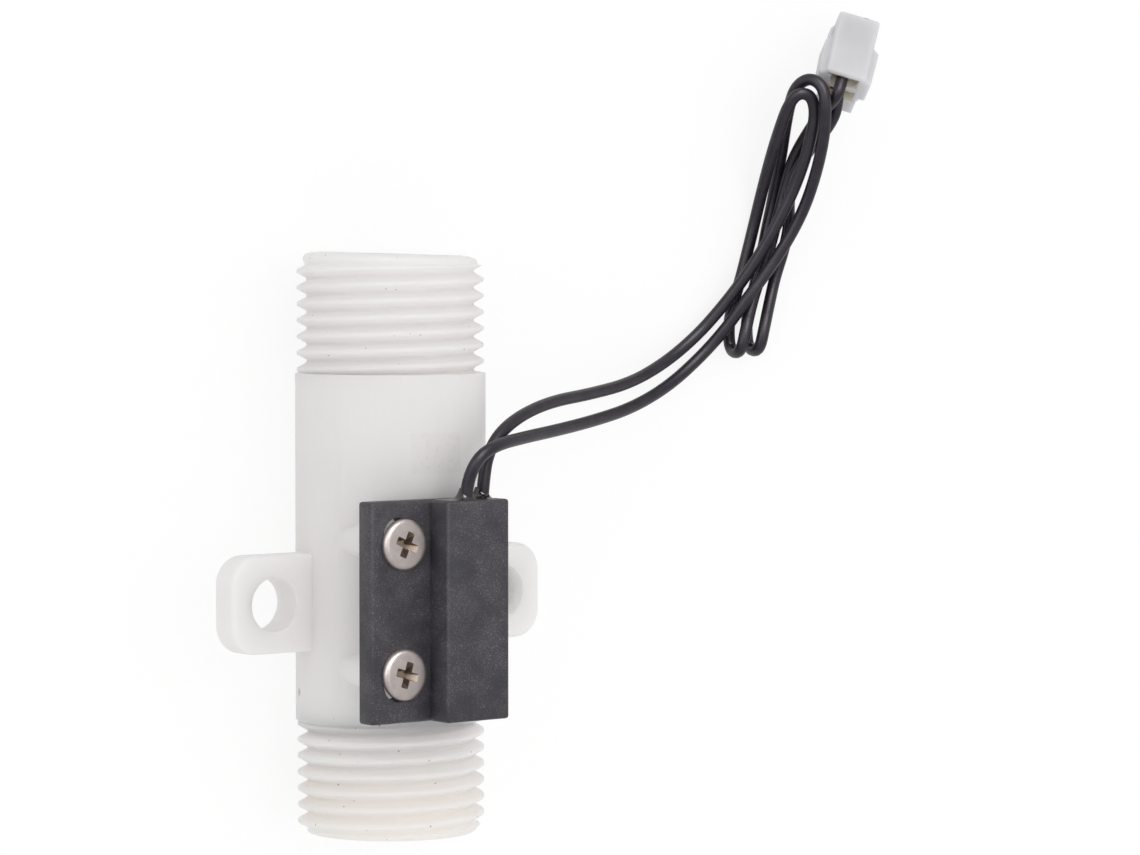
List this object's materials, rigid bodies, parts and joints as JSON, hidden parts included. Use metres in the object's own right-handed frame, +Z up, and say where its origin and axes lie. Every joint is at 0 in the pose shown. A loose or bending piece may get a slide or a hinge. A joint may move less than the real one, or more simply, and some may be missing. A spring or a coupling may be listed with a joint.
{
  "type": "water flow sensor",
  "caption": "Inline water flow sensor: white tube with pipe threads at its ends and fixing ears, a screwed-on black sensor block, and a black lead with a small white plug.",
  "frame": {"origin": "on the ground below the middle of the tube's length, centred between the ends of the ears as the sensor lies", "axes": "+Y along the tube towards its outlet, +Z up; the sensor lies on its tube and one ear, rolled so that its block faces up and to the right"},
  "size_m": [0.0817, 0.0925, 0.0274],
  "materials": {
    "tube_plastic": "milky white moulded polymer, satin",
    "block_plastic": "charcoal black, fine grain",
    "epoxy": "glossy black",
    "screw_metal": "nickel plated, satin",
    "wire_insulation": "black soft sleeve",
    "plug_plastic": "white moulded polymer",
    "contact_metal": "tinned",
    "piston_plastic": "white acetal",
    "magnet": "dark ferrite",
    "spring_steel": "stainless",
    "reed_glass": "clear, slightly green",
    "reed_metal": "plated reeds",
    "sleeve": "thin insulating sleeve",
    "solder": "soft solder"
  },
  "bodies": {
    "meter_body": {"flow_body": "tube_plastic", "sensor_housing": "block_plastic", "potting_compound": "epoxy", "screw_upper": "screw_metal", "screw_lower": "screw_metal", "wire_front": "wire_insulation", "wire_rear": "wire_insulation", "plug_housing": "plug_plastic", "terminal_front": "contact_metal", "terminal_rear": "contact_metal", "return_spring": "spring_steel", "spring_retainer": "piston_plastic", "retaining_ring": "spring_steel", "reed_glass": "reed_glass", "reed_blade_upper": "reed_metal", "reed_blade_lower": "reed_metal", "lead_sleeve": "sleeve", "solder_joint_front": "solder", "solder_joint_rear": "solder"},
    "piston_set": {"piston": "piston_plastic", "piston_magnet": "magnet", "piston_cap": "piston_plastic"}
  },
  "joints": [
    {"name": "piston_slide", "type": "slide", "parent": "meter_body", "child": "piston_set", "axis": [0, 1, 0], "range_m": [0, 0.012], "stiffness_N_per_m": 20, "springref_m": -0.005, "deforming": ["return_spring"]}
  ]
}
